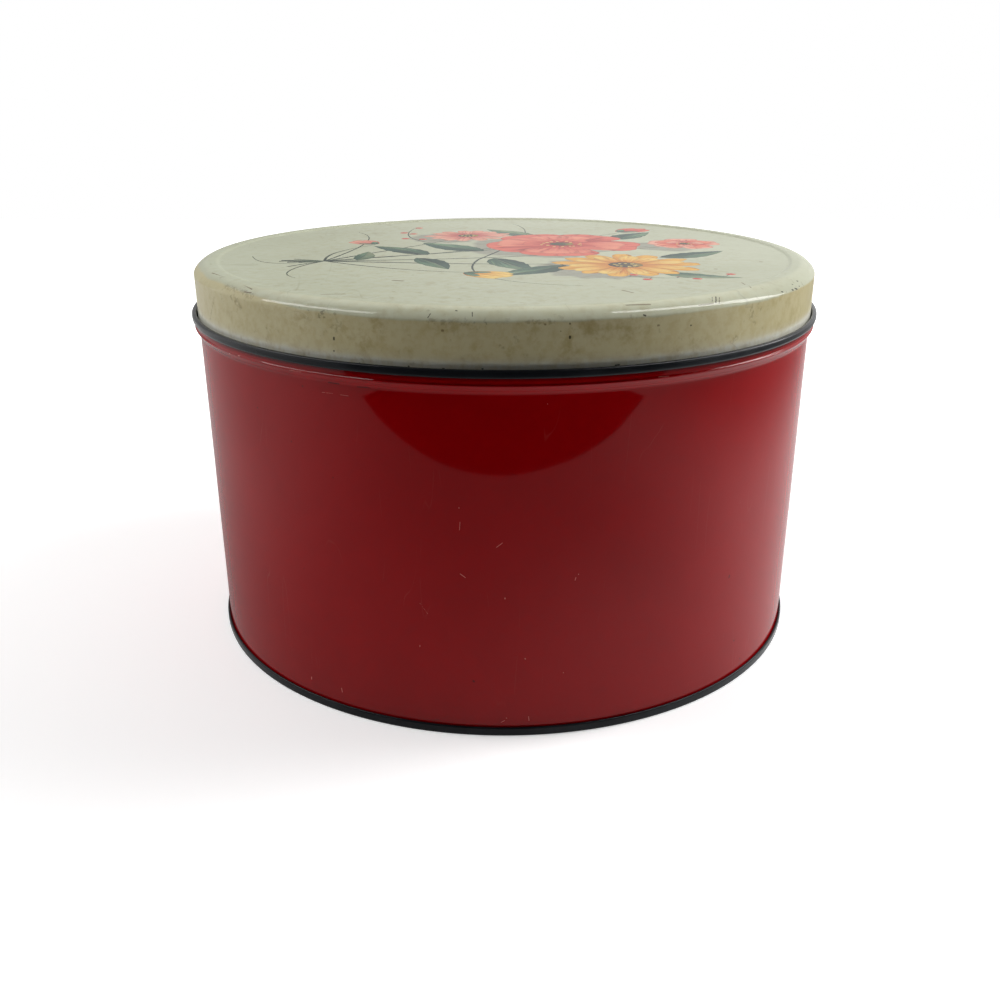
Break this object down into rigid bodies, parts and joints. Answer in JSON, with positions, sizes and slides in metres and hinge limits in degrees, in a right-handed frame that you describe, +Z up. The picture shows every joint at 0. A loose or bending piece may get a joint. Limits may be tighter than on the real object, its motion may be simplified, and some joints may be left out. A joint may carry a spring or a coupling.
{
  "type": "round storage tin",
  "caption": "Round sheet-metal storage tin: a straight wall seamed to a recessed bottom and to a grooved neck ring, with a drawn lid that lifts off its collar.",
  "frame": {"origin": "centre of the circle on which the bottom seam stands, on the supporting surface", "axes": "+Z up along the tin's axis; the side seam of the wall is on the +Y side, at the back"},
  "size_m": [0.2448, 0.2448, 0.1471],
  "materials": {
    "red_enamel": "glossy stoved enamel on tinplate, lightly chipped and scratched",
    "black_lacquer": "semi-gloss black lacquer on folded tinplate",
    "cream_enamel": "varnished cream enamel, yellowed, with fine scratches and rust specks"
  },
  "bodies": {
    "tin": {"body_shell": "red_enamel", "bottom_end": "black_lacquer", "neck_ring": "black_lacquer"},
    "lid": {"lid": "cream_enamel"}
  },
  "joints": [
    {"name": "lid_lift", "type": "slide", "parent": "tin", "child": "lid", "axis": [0, 0, 1], "range_m": [0, 0.15]}
  ]
}
